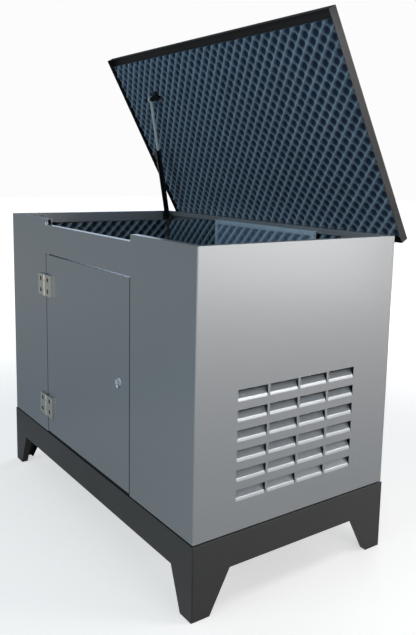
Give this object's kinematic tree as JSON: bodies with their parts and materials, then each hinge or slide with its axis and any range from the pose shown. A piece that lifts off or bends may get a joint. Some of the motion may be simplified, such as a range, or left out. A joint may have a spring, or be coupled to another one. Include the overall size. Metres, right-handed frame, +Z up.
{
  "type": "gas generator set enclosure",
  "caption": "Folded-sheet generator enclosure on a legged base, with a hinged front door, louvred end, foam linings and a rear-hinged lid held up by a gas strut.",
  "frame": {"origin": "on the ground, under the middle of the whole set as it stands with its lid raised", "axes": "+X along the length towards the louvred end, +Y from the door side to the hinged rear side, +Z up"},
  "size_m": [1.662, 1.0132, 2.0821],
  "materials": {
    "panel_paint": "satin silver-grey paint on folded steel sheet",
    "base_paint": "satin anthracite paint on steel plate",
    "lid_paint": "satin anthracite paint on folded steel sheet",
    "foam": "convoluted slate-blue sound-absorbing foam",
    "panel_foam": "lighter blue foam board",
    "galvanised": "galvanised edging channel",
    "hinge_cast": "cast stainless, bead blasted",
    "zinc": "zinc plated steel",
    "lock_chrome": "polished chrome plate",
    "strut_black": "gloss black paint",
    "bracket_black": "satin black paint",
    "rod_chrome": "ground and hard-chromed rod"
  },
  "bodies": {
    "shell": {"front_rail": "base_paint", "rear_rail": "base_paint", "left_rail": "base_paint", "right_rail": "base_paint", "floor_plate": "base_paint", "left_end_wall": "panel_paint", "right_end_wall": "panel_paint", "rear_wall": "panel_paint", "front_left_pillar": "panel_paint", "front_right_pillar": "panel_paint", "header_panel": "panel_paint", "left_end_foam": "foam", "right_end_foam": "foam", "rear_foam": "foam", "front_left_foam": "foam", "front_right_foam": "foam", "header_foam": "foam", "partition_frame": "galvanised", "partition_foam": "panel_foam", "upper_hinge_frame_leaf": "hinge_cast", "upper_hinge_pin": "zinc", "lower_hinge_frame_leaf": "hinge_cast", "lower_hinge_pin": "zinc", "left_lid_hinge_frame_leaf": "hinge_cast", "left_lid_hinge_pin": "zinc", "right_lid_hinge_frame_leaf": "hinge_cast", "right_lid_hinge_pin": "zinc", "strut_lower_bracket": "bracket_black"},
    "door": {"door_panel": "panel_paint", "door_foam": "foam", "lock_body": "lock_chrome", "lock_cam": "zinc", "upper_hinge_door_leaf": "hinge_cast", "lower_hinge_door_leaf": "hinge_cast"},
    "lid": {"lid_panel": "lid_paint", "lid_foam": "foam", "left_lid_hinge_lid_leaf": "hinge_cast", "right_lid_hinge_lid_leaf": "hinge_cast", "strut_upper_bracket": "bracket_black"},
    "strut_tube": {"strut_cylinder": "strut_black"},
    "strut_piston": {"strut_rod": "rod_chrome"}
  },
  "joints": [
    {"name": "door_hinge", "type": "hinge", "parent": "shell", "child": "door", "pos_m": [-0.403, -0.49961, 0.7], "axis": [0, 0, -1], "range_deg": [0, 110]},
    {"name": "lid_hinge", "type": "hinge", "parent": "shell", "child": "lid", "pos_m": [0, 0.43639, 1.253], "axis": [1, 0, 0], "range_deg": [0, 61.3]},
    {"name": "strut_swing", "type": "hinge", "parent": "shell", "child": "strut_tube", "pos_m": [-0.776, 0.37839, 1.246], "axis": [1, 0, 0], "range_deg": [0, 64.9]},
    {"name": "strut_slide", "type": "slide", "parent": "strut_tube", "child": "strut_piston", "axis": [0.3653, -0.3687, 0.8548], "range_m": [-0.0461, 0]}
  ],
  "couplings": [
    {"joint": "strut_swing", "follows": "lid_hinge", "ratio": 1.058},
    {"joint": "strut_slide", "follows": "lid_hinge", "m_per_rad": -0.043}
  ]
}
